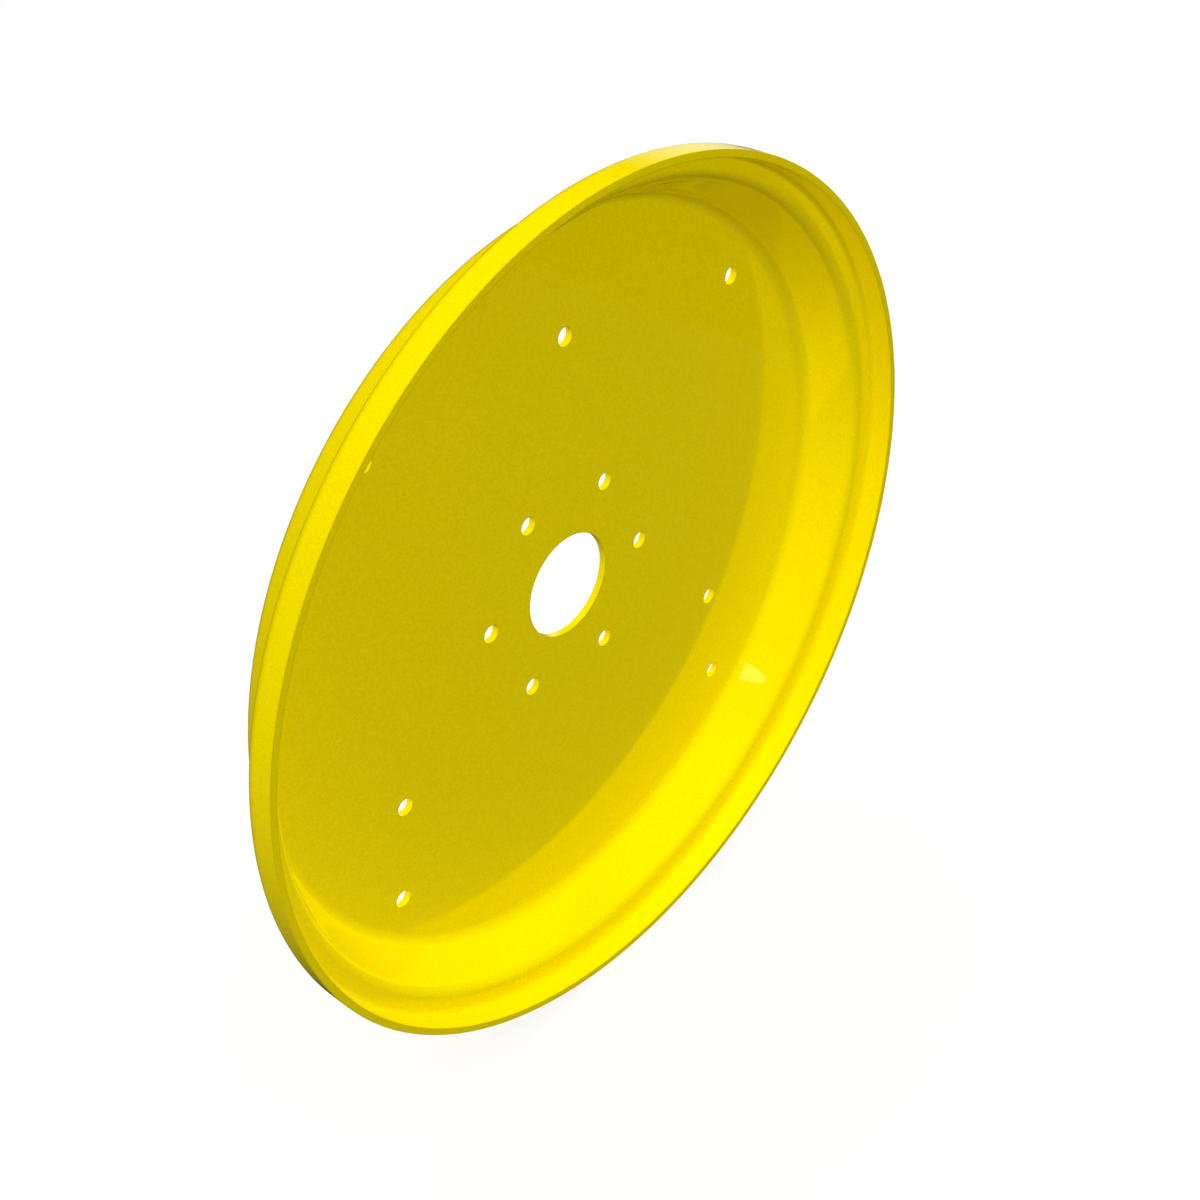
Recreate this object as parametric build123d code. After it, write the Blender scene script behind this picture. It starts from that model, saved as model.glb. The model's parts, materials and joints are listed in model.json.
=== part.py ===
from build123d import *
import os
from math import radians, tan

# A dished wheel pressed from one round blank of steel sheet. It turns about the Y axis and its
# open side faces -Y. The origin is the middle of the hub bore, on the flat back of the floor,
# where the wheel seats against its hub. Lengths are in millimetres, angles in degrees.

SHEET = 2.66

# The drawn rim, from the outside in
OUTER_DIAMETER = 311.5
FLANGE_HEIGHT = 9.2
FLANGE_BEND = 2.0
SHOULDER_WIDTH = 8.7
SHOULDER_BEND = 2.0
DISH_DEPTH = 21.1
WALL_SLOPE = 20.4
FLOOR_BEND = 5.5
EDGE_BREAK = 0.4

# Holes pierced in the floor
HUB_BORE = 38.6
BOLT_HOLE = 6.4
HUB_BOLT_CIRCLE = 76.2
HUB_BOLTS = 6
MIDDLE_BOLT_CIRCLE = 187.9
MIDDLE_BOLTS = 3
RIM_BOLT_INSET = 15.2
RIM_BOLTS = 4

# Angle of the first hole of each ring, from +X towards +Z
HUB_BOLT_START = 0.0
MIDDLE_BOLT_START = 90.0
RIM_BOLT_START = 45.0

# Radii where the flat stretches of the open-side surface would meet if nothing were rounded
flange_radius = OUTER_DIAMETER / 2 - SHEET
mouth_radius = flange_radius - SHOULDER_WIDTH
floor_radius = mouth_radius - DISH_DEPTH * tan(radians(WALL_SLOPE))
rim_bolt_circle = 2 * (floor_radius - RIM_BOLT_INSET)

# Places along the axle of the open-side surface, measured from the back of the floor
floor_face = -SHEET
shoulder_face = floor_face - DISH_DEPTH
open_edge = shoulder_face - FLANGE_HEIGHT


def sheet_section():
    """Half section of the sheet: the open-side line, given its wall towards the back."""
    line = FilletPolyline(
        (HUB_BORE / 2, floor_face),
        (floor_radius, floor_face),
        (mouth_radius, shoulder_face),
        (flange_radius, shoulder_face),
        (flange_radius, open_edge),
        radius=[FLOOR_BEND, SHOULDER_BEND + SHEET, FLANGE_BEND],
    )
    section = make_face(offset(line, SHEET, side=Side.LEFT))
    lip_corners = section.vertices().filter_by(lambda v: abs(v.Y - open_edge) < SHEET / 10)
    return chamfer(lip_corners, EDGE_BREAK)


def bolt_ring(circle_diameter, count, first_angle):
    """Outlines of one ring of bolt holes, seen from the open side."""
    places = PolarLocations(circle_diameter / 2, count, first_angle)
    return [place * Circle(BOLT_HOLE / 2) for place in places]


def floor_holes():
    """Cutter for every hole pierced in the floor."""
    outlines = Sketch() + bolt_ring(HUB_BOLT_CIRCLE, HUB_BOLTS, HUB_BOLT_START)
    outlines += bolt_ring(MIDDLE_BOLT_CIRCLE, MIDDLE_BOLTS, MIDDLE_BOLT_START)
    outlines += bolt_ring(rim_bolt_circle, RIM_BOLTS, RIM_BOLT_START)
    return extrude(Plane.XZ * outlines, amount=2 * SHEET, both=True)


def pressed_wheel():
    """The drawn dish with its stepped, flanged rim and its pierced floor."""
    return revolve(sheet_section(), Axis.Y) - floor_holes()


os.makedirs("parts", exist_ok=True)
export_step(pressed_wheel(), "parts/pressed_wheel.step")
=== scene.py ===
import json
from math import cos, pi, radians, sin, tan

import bmesh
import bpy
from mathutils import Matrix, Vector


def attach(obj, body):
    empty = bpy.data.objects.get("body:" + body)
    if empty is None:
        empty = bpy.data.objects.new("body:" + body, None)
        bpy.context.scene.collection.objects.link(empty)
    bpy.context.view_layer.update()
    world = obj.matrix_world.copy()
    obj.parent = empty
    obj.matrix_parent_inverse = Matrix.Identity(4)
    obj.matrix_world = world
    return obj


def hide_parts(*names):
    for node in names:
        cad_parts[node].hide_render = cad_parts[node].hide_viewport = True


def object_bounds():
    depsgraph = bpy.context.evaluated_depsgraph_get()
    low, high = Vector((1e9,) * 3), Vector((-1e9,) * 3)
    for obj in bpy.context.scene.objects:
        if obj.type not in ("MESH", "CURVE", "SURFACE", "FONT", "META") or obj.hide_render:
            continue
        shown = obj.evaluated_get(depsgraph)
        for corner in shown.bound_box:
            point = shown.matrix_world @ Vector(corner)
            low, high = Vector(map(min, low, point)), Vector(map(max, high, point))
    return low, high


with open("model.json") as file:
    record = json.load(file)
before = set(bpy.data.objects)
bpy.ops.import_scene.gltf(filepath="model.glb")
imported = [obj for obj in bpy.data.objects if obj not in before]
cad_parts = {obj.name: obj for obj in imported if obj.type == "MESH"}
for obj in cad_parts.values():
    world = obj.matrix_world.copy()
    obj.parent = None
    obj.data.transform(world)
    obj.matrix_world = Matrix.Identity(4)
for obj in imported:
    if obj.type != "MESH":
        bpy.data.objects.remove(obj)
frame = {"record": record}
cad_low, cad_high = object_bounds()

# The wheel in metres, in the frame of the part: it turns about +Y, its open side faces -Y, and the
# back of its floor lies at y = 0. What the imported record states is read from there.
MM = 0.001
mounts = {mount["name"]: mount for mount in frame["record"]["mounts"]}
OUTER_RADIUS = mounts["tyre_seat"]["dims"]["r_mm"] * MM
SHEET = mounts["hub_bore"]["dims"]["length_mm"] * MM
HUB_BORE_RADIUS = mounts["hub_bore"]["dims"]["r_mm"] * MM
BOLT_HOLE_RADIUS = mounts["hub_bolts"]["dims"]["hole_r_mm"] * MM
OPEN_EDGE = cad_low[1]

# The drawn rim, on its open side
FLANGE_HEIGHT = 9.2 * MM
FLANGE_BEND = 2.0 * MM
SHOULDER_WIDTH = 8.7 * MM
SHOULDER_BEND = 2.0 * MM
WALL_SLOPE = radians(20.4)
FLOOR_BEND = 5.5 * MM
FLANGE_RADIUS = OUTER_RADIUS - SHEET
MOUTH_RADIUS = FLANGE_RADIUS - SHOULDER_WIDTH
SHOULDER_FACE = OPEN_EDGE + FLANGE_HEIGHT
DISH_DEPTH = -SHEET - SHOULDER_FACE
WALL_FOOT_RADIUS = MOUTH_RADIUS - DISH_DEPTH * tan(WALL_SLOPE)

# Edges that the press and the paint leave round
LIP_ROUNDING = 0.2 * MM
HOLE_ROUNDING = 0.15 * MM

# The flat kept on both sides of each bend and edge, how far the strip round a hole reaches, and
# where the flat disc of the floor meets the rim
FLAT_MARGIN = 0.4 * MM
HOLE_REACH = HOLE_ROUNDING + 2 * FLAT_MARGIN
FLOOR_RADIUS = WALL_FOOT_RADIUS - FLOOR_BEND - 2 * FLAT_MARGIN

# Angle of the first hole of each ring, from +X towards +Z
RING_STARTS = {"hub_bolts": 0.0, "middle_bolts": radians(90), "rim_bolts": radians(45)}

# How finely round stretches are divided. A bend tighter than SHARP_BELOW counts as a sharp edge.
STEPS_ROUND_WHEEL = 480
STEPS_ROUND_BORE = 160
STEPS_ROUND_HOLE = 48
STEP_IN_BEND = radians(4)
STEPS_AT_EDGE = 6
SHARP_BELOW = 1.0 * MM

# Points nearer to each other than this become one
WELD_DISTANCE = 0.002 * MM

# The attribute that is 1 on sharp edges, where the paint is thin
EDGE_MARK = "thin_film"

# Enamel: its yellow where the film is fullest and leanest, and where it draws back from an edge.
# The cells of its orange peel are about as fine as the picture can show.
FULL_FILM = "#FCE500"
LEAN_FILM = "#F2DB00"
EDGE_FILM = "#ECD400"
ENAMEL_IOR = 1.5
ENAMEL_SPECULAR = 0.9
GLOSS_TINT = "#FFECA8"
GLOSS_ROUGHNESS = (0.02, 0.03)
PEEL_GRAIN = 0.75 * MM
PEEL_HEIGHT = 0.0004 * MM
PEEL_RANGE = (0.3, 0.7)
SHEET_WAVE = 45 * MM
SHEET_WAVE_HEIGHT = 0.01 * MM
NOISE_DETAIL = 1.0

# Sockets of the Mix node for colours, whose names are also those of its sockets for numbers
COLOUR_A = 6
COLOUR_B = 7
MIXED_COLOUR = 2

# Paper: to the camera it is a glow plus a share of the light on it, and to the wheel it is a grey.
# The sheet reaches well past the wheel on all sides.
WHITE = "#FFFFFF"
PAPER_GREY = "#282828"
PAPER_SHADE = "#B3B3B3"
PAPER_GLOW = 0.46
PAPER_HALF_WIDTH = 450 * MM

# Broad lamps, far off and without shadows: how wide each one looks, and for each where it shines
# from and its strength
BROAD_LAMP_SPREAD = radians(17)
BROAD_LAMPS = {
    "lamp_left": ((-1.0, 0.0, 0.05), 1.5),
    "lamp_front": ((-0.25, -0.58, 0.78), 1.87),
    "lamp_right": ((0.6, 0.0, 0.8), 1.3),
    "lamp_low": ((0.8, -0.4, -0.4), 1.0),
    "lamp_back": ((0.25, 0.97, 0.0), 1.3),
}

# The oval soft box that the dish mirrors: the spot that mirrors it, the ways from there to the box
# and along its width, and its distance and size in metres and power in watts
SOFT_BOX_SPOT = (104 * MM, -10 * MM, -92 * MM)
SOFT_BOX_DIRECTION = (-0.713, -0.202, 0.672)
SOFT_BOX_SIDE = (0.476, -0.843, 0.213)
SOFT_BOX_DISTANCE = 3.0
SOFT_BOX_WIDTH = 0.27
SOFT_BOX_HEIGHT = 0.41
SOFT_BOX_POWER = 0.52

# Glow of the ceiling, and of the pale wall behind the wheel on its right, which only the gloss
# shows. A spread is two cosines, of the angle to the glow's middle: where it ends and is full.
CEILING_DIRECTION = (0.0, 0.0, 1.0)
CEILING_SPREAD = (0.0, 1.0)
CEILING_LEVEL = 0.62
PALE_WALL_DIRECTION = (0.9, 0.42, 0.05)
PALE_WALL_SPREAD = (0.91, 1.0)
PALE_WALL_LEVEL = 0.8

# Camera: turned from looking along +Y, lifted, and set off from the floor's centre. Its lens and
# sensor are in millimetres.
CAMERA_TURN = radians(-48.97)
CAMERA_LIFT = radians(34.88)
CAMERA_DISTANCE = 576.87 * MM
CAMERA_RIGHT = 10.85 * MM
CAMERA_UP = -5.15 * MM
CAMERA_LENS = 50.25
CAMERA_SENSOR = 36.0
CAMERA_NEAR = 10 * MM


def linear(hex_colour):
    """An sRGB hex colour as the linear RGBA that shaders take."""
    channels = [int(hex_colour[i:i + 2], 16) / 255 for i in (1, 3, 5)]
    light = [c / 12.92 if c <= 0.04045 else ((c + 0.055) / 1.055) ** 2.4 for c in channels]
    return (*light, 1.0)


def add(tree, kind, inputs=None, **settings):
    """Adds a node: its settings first, then a value, a link or a list of links for each input."""
    node = tree.nodes.new(kind)
    for name, value in settings.items():
        setattr(node, name, value)
    for key, value in (inputs or {}).items():
        sources = value if isinstance(value, list) else [value]
        if isinstance(sources[0], bpy.types.NodeSocket):
            for source in sources:
                tree.links.new(source, node.inputs[key])
        else:
            node.inputs[key].default_value = value
    return node


def cleared_tree(owner):
    """The node tree of a new material or world, without its first nodes."""
    owner.use_nodes = True
    owner.node_tree.nodes.clear()
    return owner.node_tree


def placed(name, data):
    """A new object with the given data, in the scene."""
    thing = bpy.data.objects.new(name, data)
    bpy.context.scene.collection.objects.link(thing)
    return thing


# The shape of the pressed sheet


def rounded_line(corners):
    """A line through corners (x, y, bend radius), as points (place, 1 on a sharp edge or 0).

    Each bend has a point FLAT_MARGIN before it and after it, so that shading leaves the flats flat.
    """
    places = [Vector((x, y)) for x, y, _ in corners]
    line = [(places[0], 0.0)]
    for i in range(1, len(corners) - 1):
        arriving = (places[i] - places[i - 1]).normalized()
        leaving = (places[i + 1] - places[i]).normalized()
        bend = corners[i][2]
        sharp = float(bend < SHARP_BELOW)
        turn = arriving.angle_signed(leaving)
        reach = bend * tan(abs(turn) / 2)
        to_centre = Vector((arriving.y, -arriving.x)) * (1 if turn > 0 else -1)
        start = places[i] - arriving * reach
        centre = start + to_centre * bend
        steps = STEPS_AT_EDGE if sharp else round(abs(turn) / STEP_IN_BEND)
        line.append((start - arriving * FLAT_MARGIN, 0.0))
        for step in range(steps + 1):
            swing = Matrix.Rotation(-turn * step / steps, 2)
            line.append((centre + swing @ (start - centre), sharp))
        line.append((places[i] + leaving * (reach + FLAT_MARGIN), 0.0))
    return line + [(places[-1], 0.0)]


def rim_section():
    """The sheet's outline from the floor's open side, round the lip, to the floor's back.

    x is the distance outwards from FLOOR_RADIUS and y the place along the axle.
    """
    set_out = SHEET * tan((pi / 2 - WALL_SLOPE) / 2)
    shoulder_back = SHOULDER_FACE + SHEET
    corners = [
        (FLOOR_RADIUS, -SHEET, 0),
        (WALL_FOOT_RADIUS, -SHEET, FLOOR_BEND),
        (MOUTH_RADIUS, SHOULDER_FACE, SHOULDER_BEND + SHEET),
        (FLANGE_RADIUS, SHOULDER_FACE, FLANGE_BEND),
        (FLANGE_RADIUS, OPEN_EDGE, LIP_ROUNDING),
        (OUTER_RADIUS, OPEN_EDGE, LIP_ROUNDING),
        (OUTER_RADIUS, shoulder_back, FLANGE_BEND + SHEET),
        (MOUTH_RADIUS + set_out, shoulder_back, SHOULDER_BEND),
        (WALL_FOOT_RADIUS + set_out, 0.0, FLOOR_BEND + SHEET),
        (FLOOR_RADIUS, 0.0, 0),
    ]
    return rounded_line([(radius - FLOOR_RADIUS, y, bend) for radius, y, bend in corners])


def hole_section():
    """The edge of a pierced hole from the floor's open side to its back, with its wall at x = 0."""
    return rounded_line([
        (HOLE_REACH, -SHEET, 0),
        (0.0, -SHEET, HOLE_ROUNDING),
        (0.0, 0.0, HOLE_ROUNDING),
        (HOLE_REACH, 0.0, 0),
    ])


def section_object(name, line):
    """A line of edges that the wheel's node tree sweeps along circles, marked where it is sharp."""
    mesh = bpy.data.meshes.new(name)
    edges = [(i, i + 1) for i in range(len(line) - 1)]
    mesh.from_pydata([(place.x, place.y, 0.0) for place, _ in line], edges, [])
    marks = mesh.attributes.new(EDGE_MARK, "FLOAT", "POINT")
    marks.data.foreach_set("value", [sharp for _, sharp in line])
    return placed(name, mesh)


def wheel_inputs(rim, hole, paint):
    """The named inputs of the wheel's node tree, each with its kind and value."""
    inputs = {
        "Rim section": ("Object", rim),
        "Hole section": ("Object", hole),
        "Paint": ("Material", paint),
        "Sheet": ("Float", SHEET),
        "Floor radius": ("Float", FLOOR_RADIUS),
        "Bore radius": ("Float", HUB_BORE_RADIUS),
        "Hole radius": ("Float", BOLT_HOLE_RADIUS),
        "Hole reach": ("Float", HOLE_REACH),
        "Steps round wheel": ("Int", STEPS_ROUND_WHEEL),
        "Steps round bore": ("Int", STEPS_ROUND_BORE),
        "Steps round hole": ("Int", STEPS_ROUND_HOLE),
    }
    for ring, start in RING_STARTS.items():
        holes = mounts[ring]["dims"]
        inputs[ring + " circle"] = ("Float", holes["pcd_mm"] / 2 * MM)
        inputs[ring + " count"] = ("Int", holes["count"])
        inputs[ring + " start"] = ("Float", start)
    return inputs


def new_tree(name, inputs):
    """A geometry node tree with the named inputs, and the sockets that give them inside it."""
    tree = bpy.data.node_groups.new(name, "GeometryNodeTree")
    tree.interface.new_socket("Geometry", in_out="OUTPUT", socket_type="NodeSocketGeometry")
    for socket_name, (kind, _) in inputs.items():
        tree.interface.new_socket(socket_name, in_out="INPUT", socket_type="NodeSocket" + kind)
    return tree, add(tree, "NodeGroupInput").outputs


def repeated(tree, spots, piece):
    """A copy of the piece at each spot, as real geometry."""
    copies = add(tree, "GeometryNodeInstanceOnPoints", {"Points": spots, "Instance": piece})
    real = add(tree, "GeometryNodeRealizeInstances", {"Geometry": copies.outputs["Instances"]})
    return real.outputs["Geometry"]


def swept_round(tree, section, radius, steps):
    """Turns a section about Z: its x is the distance outwards from the radius, its y goes down."""
    edges = add(tree, "GeometryNodeObjectInfo", {"Object": section})
    line = add(tree, "GeometryNodeMeshToCurve", {"Mesh": edges.outputs["Geometry"]})
    path = add(tree, "GeometryNodeCurvePrimitiveCircle", {"Resolution": steps, "Radius": radius})
    sweep = {"Curve": path.outputs["Curve"], "Profile Curve": line.outputs["Curve"]}
    return add(tree, "GeometryNodeCurveToMesh", sweep).outputs["Mesh"]


def hole_spots(tree, given):
    """The middle of every bolt hole, ring by ring, on the floor's back."""
    rings = []
    for ring in RING_STARTS:
        around = {"Vertices": given[ring + " count"], "Radius": given[ring + " circle"]}
        circle = add(tree, "GeometryNodeMeshCircle", around)
        start = add(tree, "ShaderNodeCombineXYZ", {"Z": given[ring + " start"]})
        turned = {"Geometry": circle.outputs["Mesh"], "Rotation": start.outputs["Vector"]}
        rings.append(add(tree, "GeometryNodeTransform", turned).outputs["Geometry"])
    return add(tree, "GeometryNodeJoinGeometry", {"Geometry": rings}).outputs["Geometry"]


def floor_faces(tree, given, spots):
    """The flat back and open side of the floor, cut out round the strips of all its holes."""
    bore_reach = add(tree, "ShaderNodeMath", {0: given["Bore radius"], 1: given["Hole reach"]})
    hole_reach = add(tree, "ShaderNodeMath", {0: given["Hole radius"], 1: given["Hole reach"]})
    outlines = []
    for steps, radius in (
        (given["Steps round wheel"], given["Floor radius"]),
        (given["Steps round bore"], bore_reach.outputs["Value"]),
        (given["Steps round hole"], hole_reach.outputs["Value"]),
    ):
        circle = {"Resolution": steps, "Radius": radius}
        outlines.append(add(tree, "GeometryNodeCurvePrimitiveCircle", circle).outputs["Curve"])
    rim_outline, bore_outline, hole_outline = outlines
    outlines = [rim_outline, bore_outline, repeated(tree, spots, hole_outline)]
    outline = add(tree, "GeometryNodeJoinGeometry", {"Geometry": outlines}).outputs["Geometry"]
    back = add(tree, "GeometryNodeFillCurve", {"Curve": outline}).outputs["Mesh"]
    sheet = add(tree, "ShaderNodeCombineXYZ", {"Z": given["Sheet"]})
    raised = {"Geometry": back, "Translation": sheet.outputs["Vector"]}
    return [back, add(tree, "GeometryNodeTransform", raised).outputs["Geometry"]]


def wheel_tree(inputs):
    """Node tree of the whole wheel, made with its back down and then turned to put its axle on Y."""
    tree, given = new_tree("Pressed wheel", inputs)
    spots = hole_spots(tree, given)
    rim = swept_round(tree, given["Rim section"], given["Floor radius"], given["Steps round wheel"])
    bore = swept_round(tree, given["Hole section"], given["Bore radius"], given["Steps round bore"])
    hole = swept_round(tree, given["Hole section"], given["Hole radius"], given["Steps round hole"])
    pieces = floor_faces(tree, given, spots) + [rim, bore, repeated(tree, spots, hole)]
    together = add(tree, "GeometryNodeJoinGeometry", {"Geometry": pieces})

    axle_to_y = {"Geometry": together.outputs["Geometry"], "Rotation": (pi / 2, 0.0, 0.0)}
    upright = add(tree, "GeometryNodeTransform", axle_to_y)
    weld = {"Geometry": upright.outputs["Geometry"], "Distance": WELD_DISTANCE}
    welded = add(tree, "GeometryNodeMergeByDistance", weld)
    smooth = add(tree, "GeometryNodeSetShadeSmooth", {"Geometry": welded.outputs["Geometry"]})
    whole = add(tree, "GeometryNodeRealizeInstances", {"Geometry": smooth.outputs["Geometry"]})
    painted = {"Geometry": whole.outputs["Geometry"], "Material": given["Paint"]}
    finish = add(tree, "GeometryNodeSetMaterial", painted)
    add(tree, "NodeGroupOutput", {"Geometry": finish.outputs["Geometry"]})
    return tree


def plain_mesh(holder, name):
    """The evaluated shape of a piece as a plain object, with its faces outwards."""
    evaluated = holder.evaluated_get(bpy.context.evaluated_depsgraph_get())
    mesh = bpy.data.meshes.new_from_object(evaluated)
    mesh.name = name
    # The first slot is empty, and every face uses the second
    mesh.materials.pop(index=0)
    shape = bmesh.new()
    shape.from_mesh(mesh)
    bmesh.ops.recalc_face_normals(shape, faces=shape.faces)
    shape.to_mesh(mesh)
    shape.free()
    return placed(name, mesh)


def painted_wheel(paint):
    """The whole wheel with smooth bends and rounded edges, in one piece as it was pressed."""
    rim = section_object("rim_section", rim_section())
    hole = section_object("hole_section", hole_section())
    inputs = wheel_inputs(rim, hole, paint)
    holder = placed("wheel_holder", bpy.data.meshes.new("wheel_holder"))
    modifier = holder.modifiers.new("wheel", "NODES")
    modifier.node_group = wheel_tree(inputs)
    for socket in modifier.node_group.interface.items_tree:
        if socket.in_out == "INPUT":
            modifier[socket.identifier] = inputs[socket.name][1]
    wheel = plain_mesh(holder, "painted_wheel")
    for helper in (rim, hole, holder):
        bpy.data.objects.remove(helper)
    return wheel


# Finishes


def sprayed_enamel():
    """Gloss yellow enamel sprayed over the pressed steel.

    To the eye it is one strong yellow with clear reflections. The wet film sets with a fine orange
    peel, a little lighter where it is full, which shows as a faint grain. It follows the slight
    waves of the pressed sheet and draws back from sharp edges.
    """
    material = bpy.data.materials.new("sprayed_yellow_enamel")
    tree = cleared_tree(material)
    place = add(tree, "ShaderNodeTexCoord").outputs["Object"]
    edge = add(tree, "ShaderNodeAttribute", attribute_name=EDGE_MARK).outputs["Fac"]
    peel_cells = {"Vector": place, "Scale": 1 / PEEL_GRAIN, "Detail": NOISE_DETAIL}
    peel = add(tree, "ShaderNodeTexNoise", peel_cells).outputs["Fac"]
    sheet_waves = {"Vector": place, "Scale": 1 / SHEET_WAVE, "Detail": NOISE_DETAIL}
    wave = add(tree, "ShaderNodeTexNoise", sheet_waves).outputs["Fac"]

    # Heights are in metres, and the bump takes them as they are
    peel_height = add(tree, "ShaderNodeMath", {0: peel, 1: PEEL_HEIGHT}, operation="MULTIPLY")
    heights = {0: wave, 1: SHEET_WAVE_HEIGHT, 2: peel_height.outputs["Value"]}
    surface = add(tree, "ShaderNodeMath", heights, operation="MULTIPLY_ADD")
    bump = add(tree, "ShaderNodeBump", {"Height": surface.outputs["Value"], "Distance": 1.0})

    peel_range = {"Value": peel, "From Min": PEEL_RANGE[0], "From Max": PEEL_RANGE[1]}
    fullness = add(tree, "ShaderNodeMapRange", peel_range).outputs["Result"]
    grain = {"Factor": fullness, COLOUR_A: linear(LEAN_FILM), COLOUR_B: linear(FULL_FILM)}
    grained = add(tree, "ShaderNodeMix", grain, data_type="RGBA").outputs[MIXED_COLOUR]
    worn = {"Factor": edge, COLOUR_A: grained, COLOUR_B: linear(EDGE_FILM)}
    film = add(tree, "ShaderNodeMix", worn, data_type="RGBA").outputs[MIXED_COLOUR]
    gloss = {"Value": wave, "To Min": GLOSS_ROUGHNESS[0], "To Max": GLOSS_ROUGHNESS[1]}
    roughness = add(tree, "ShaderNodeMapRange", gloss).outputs["Result"]
    enamel = add(tree, "ShaderNodeBsdfPrincipled", {
        "Base Color": film,
        "Roughness": roughness,
        "Normal": bump.outputs["Normal"],
        "IOR": ENAMEL_IOR,
        "Specular IOR Level": ENAMEL_SPECULAR,
        "Specular Tint": linear(GLOSS_TINT),
    })
    add(tree, "ShaderNodeOutputMaterial", {"Surface": enamel.outputs["BSDF"]})
    return material


def white_paper():
    """Matt white backdrop paper: white to the camera, with the wheel's soft shadow on it."""
    material = bpy.data.materials.new("matt_white_paper")
    tree = cleared_tree(material)
    seen = add(tree, "ShaderNodeLightPath").outputs["Is Camera Ray"]
    grey = add(tree, "ShaderNodeBsdfDiffuse", {"Color": linear(PAPER_GREY)}).outputs["BSDF"]
    shaded = add(tree, "ShaderNodeBsdfDiffuse", {"Color": linear(PAPER_SHADE)}).outputs["BSDF"]
    glow = add(tree, "ShaderNodeEmission", {"Strength": PAPER_GLOW}).outputs["Emission"]
    white = add(tree, "ShaderNodeAddShader", {0: shaded, 1: glow}).outputs["Shader"]
    paper = add(tree, "ShaderNodeMixShader", {"Fac": seen, 1: grey, 2: white}).outputs["Shader"]
    add(tree, "ShaderNodeOutputMaterial", {"Surface": paper})
    return material


# Stage, light and camera


def stage_floor(height):
    """The sheet of paper that the wheel stands on."""
    half = PAPER_HALF_WIDTH
    corners = [(-half, -half, height), (half, -half, height), (half, half, height), (-half, half, height)]
    mesh = bpy.data.meshes.new("floor")
    mesh.from_pydata(corners, [], [(0, 1, 2, 3)])
    mesh.materials.append(white_paper())
    placed("floor", mesh)


def glow_lobe(tree, toward, spread, level):
    """Light that grows softly towards a direction, between two cosines of the angle to it."""
    direction = add(tree, "ShaderNodeTexCoord").outputs["Generated"]
    axis = tuple(Vector(toward).normalized())
    cosine = add(tree, "ShaderNodeVectorMath", {0: direction, 1: axis}, operation="DOT_PRODUCT")
    ends, full = spread
    fade = {"Value": cosine.outputs["Value"], "From Min": ends, "From Max": full, "To Max": level}
    strength = add(tree, "ShaderNodeMapRange", fade, interpolation_type="SMOOTHSTEP")
    glow = {"Color": linear(WHITE), "Strength": strength.outputs["Result"]}
    return add(tree, "ShaderNodeBackground", glow).outputs["Background"]


def studio_world():
    """White to the camera, a softly glowing ceiling for light, and one pale wall for the gloss."""
    world = bpy.data.worlds.new("studio")
    tree = cleared_tree(world)
    ray = add(tree, "ShaderNodeLightPath").outputs
    ceiling = glow_lobe(tree, CEILING_DIRECTION, CEILING_SPREAD, CEILING_LEVEL)
    wall = glow_lobe(tree, PALE_WALL_DIRECTION, PALE_WALL_SPREAD, PALE_WALL_LEVEL)
    white = add(tree, "ShaderNodeBackground", {"Color": linear(WHITE), "Strength": 1.0})
    light = add(tree, "ShaderNodeMixShader", {"Fac": ray["Is Glossy Ray"], 1: ceiling, 2: wall})
    sides = {"Fac": ray["Is Camera Ray"], 1: light.outputs["Shader"], 2: white.outputs["Background"]}
    surroundings = add(tree, "ShaderNodeMixShader", sides)
    add(tree, "ShaderNodeOutputWorld", {"Surface": surroundings.outputs["Shader"]})
    bpy.context.scene.world = world


def studio_lamp(name, kind, axes, place=(0, 0, 0), **settings):
    """A lamp whose local X, Y and Z axes are given; it shines along its -Z."""
    data = bpy.data.lights.new(name, kind)
    for setting, value in settings.items():
        setattr(data, setting, value)
    lamp = placed(name, data)
    lamp.matrix_world = Matrix.Translation(place) @ Matrix(axes).transposed().to_4x4()
    return lamp


def studio_lamps():
    """Broad lamps that light the wheel evenly, and the small soft box that the gloss shows."""
    broad = {"angle": BROAD_LAMP_SPREAD, "use_shadow": False}
    for name, (toward, strength) in BROAD_LAMPS.items():
        facing = Vector(toward).to_track_quat("Z", "Y").to_matrix().transposed()
        lamp = studio_lamp(name, "SUN", facing, energy=strength, **broad)
        lamp.visible_glossy = False
    away = Vector(SOFT_BOX_DIRECTION).normalized()
    across = away.cross(Vector(SOFT_BOX_SIDE)).normalized()
    axes = (across.cross(away), across, away)
    place = Vector(SOFT_BOX_SPOT) + away * SOFT_BOX_DISTANCE
    size = {"shape": "ELLIPSE", "size": SOFT_BOX_WIDTH, "size_y": SOFT_BOX_HEIGHT}
    studio_lamp("soft_box", "AREA", axes, place, energy=SOFT_BOX_POWER, **size)


def studio_camera():
    """Looks down on the open side from its left, as the photograph does."""
    turn, lift = CAMERA_TURN, CAMERA_LIFT
    right = Vector((cos(turn), sin(turn), 0))
    back = Vector((sin(turn) * cos(lift), -cos(turn) * cos(lift), sin(lift)))
    up = back.cross(right)
    data = bpy.data.cameras.new("camera")
    data.lens = CAMERA_LENS
    data.sensor_width = CAMERA_SENSOR
    data.sensor_fit = "HORIZONTAL"
    data.clip_start = CAMERA_NEAR
    camera = placed("camera", data)
    floor_centre = Vector((0, -SHEET, 0))
    place = floor_centre + CAMERA_RIGHT * right + CAMERA_UP * up + CAMERA_DISTANCE * back
    camera.matrix_world = Matrix.Translation(place) @ Matrix((right, up, back)).transposed().to_4x4()
    bpy.context.scene.camera = camera


wheel = painted_wheel(sprayed_enamel())
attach(wheel, "root")
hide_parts("pressed_wheel")
stage_floor(cad_low[2])
studio_world()
studio_lamps()
studio_camera()
bpy.context.scene.view_settings.view_transform = "Standard"
